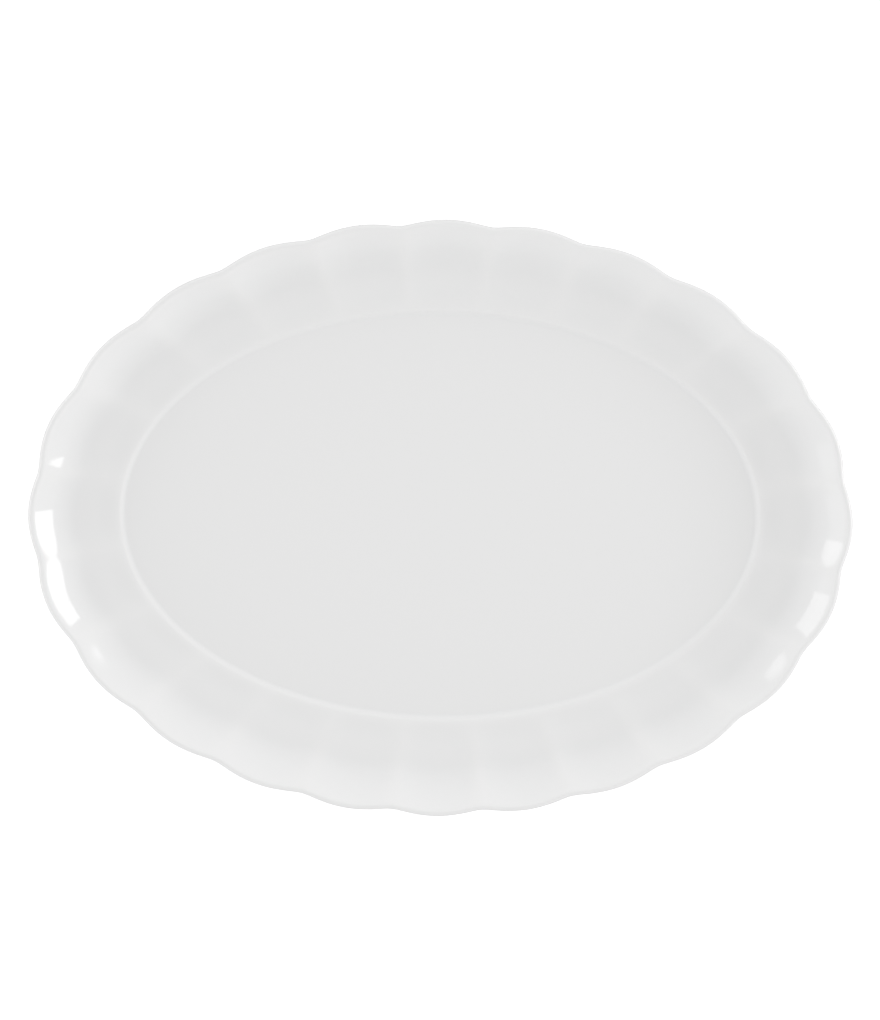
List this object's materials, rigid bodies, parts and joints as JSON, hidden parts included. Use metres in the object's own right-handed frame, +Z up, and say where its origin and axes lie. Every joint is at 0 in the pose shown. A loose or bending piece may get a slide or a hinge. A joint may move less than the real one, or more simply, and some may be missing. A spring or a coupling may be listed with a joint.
{
  "type": "serving platter",
  "caption": "Oval china serving platter with a petalled, upturned rim around a flat well, glazed white all over and standing on a low bare foot ring.",
  "frame": {"origin": "on the table, under the centre of the platter", "axes": "+X along the length, +Y across the width, +Z up out of the well"},
  "size_m": [0.4064, 0.2966, 0.026],
  "materials": {
    "white_glaze": "gloss",
    "bare_china": "matt"
  },
  "bodies": {
    "root": {"platter_body": "white_glaze", "foot_ring": "bare_china"}
  },
  "joints": []
}
